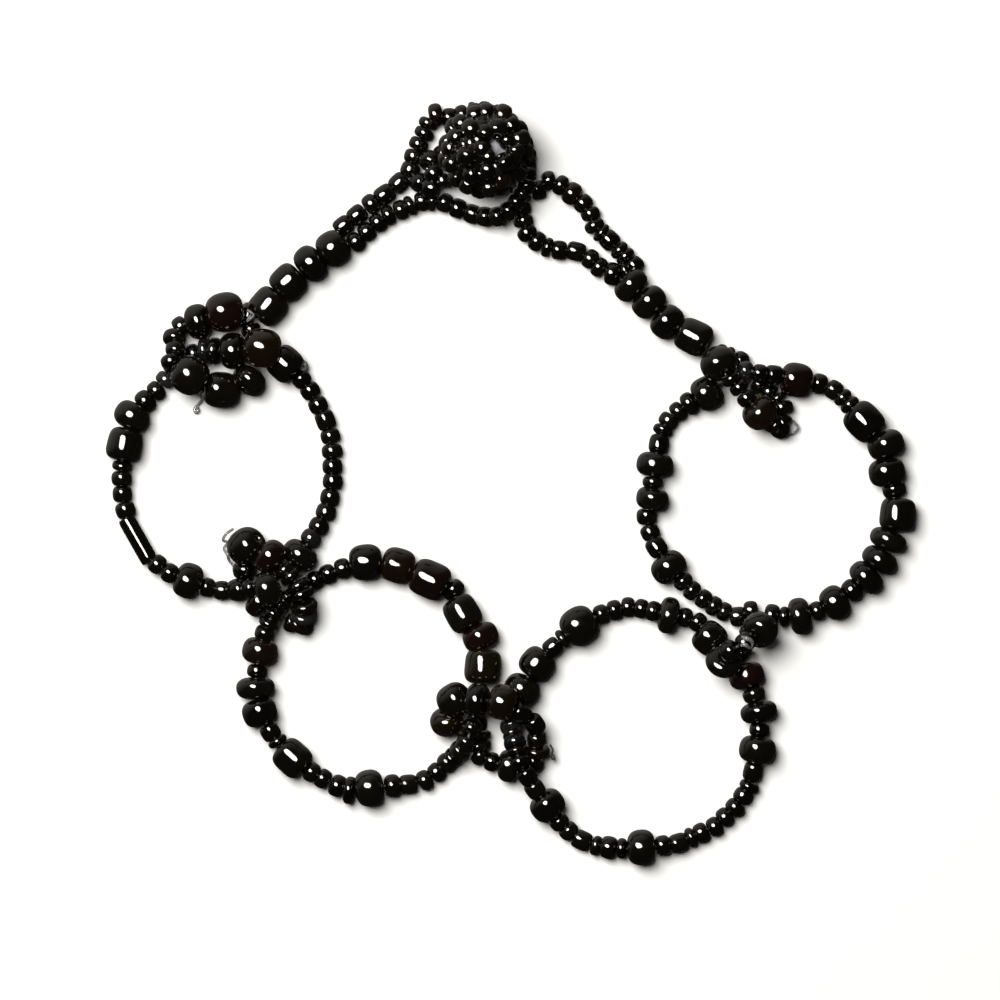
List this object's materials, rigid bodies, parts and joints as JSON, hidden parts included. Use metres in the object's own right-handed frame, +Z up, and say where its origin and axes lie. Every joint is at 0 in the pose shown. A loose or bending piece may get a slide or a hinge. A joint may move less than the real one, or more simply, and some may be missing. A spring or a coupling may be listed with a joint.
{
  "type": "beaded bracelet",
  "caption": "Bracelet of dark glass beads: loose hoops of beads chained by small link rings, fastened by a woven bead button held in a toggle loop.",
  "frame": {"origin": "centre of the bracelet's outline, on the surface that it lies on", "axes": "+Z up from the surface; +Y from the middle of the loop towards the button; +X from the toggle loop's side towards the button strands' side"},
  "size_m": [0.0887, 0.0844, 0.0119],
  "materials": {
    "hoop_1_glass": "glossy near-black glass beads with a warm cast",
    "hoop_2_glass": "glossy near-black and deep brown glass beads",
    "hoop_3_glass": "glossy near-black glass beads",
    "hoop_4_glass": "glossy near-black glass beads, a few deep red",
    "link_left_glass": "glossy near-black and dark red glass beads",
    "link_1_glass": "glossy near-black glass beads",
    "link_2_glass": "glossy near-black and brown glass beads",
    "link_3_glass": "glossy near-black glass beads",
    "link_right_glass": "glossy near-black and brown glass beads",
    "stem_left_glass": "glossy near-black glass beads",
    "stem_right_glass": "glossy near-black glass beads",
    "toggle_loop_glass": "glossy black seed beads",
    "toggle_inner_glass": "glossy black seed beads",
    "button_strands_glass": "glossy black seed beads",
    "button_net_glass": "glossy black seed beads woven into a ball",
    "button_core": "pale grey-lilac core bead, softly shiny"
  },
  "bodies": {
    "root": {"hoop_1": "hoop_1_glass", "hoop_2": "hoop_2_glass", "hoop_3": "hoop_3_glass", "hoop_4": "hoop_4_glass", "link_left": "link_left_glass", "link_1": "link_1_glass", "link_2": "link_2_glass", "link_3": "link_3_glass", "link_right": "link_right_glass", "stem_left": "stem_left_glass", "stem_right": "stem_right_glass", "toggle_loop": "toggle_loop_glass", "toggle_inner": "toggle_inner_glass", "button_strands": "button_strands_glass", "button_net": "button_net_glass", "button_core": "button_core"}
  },
  "joints": []
}
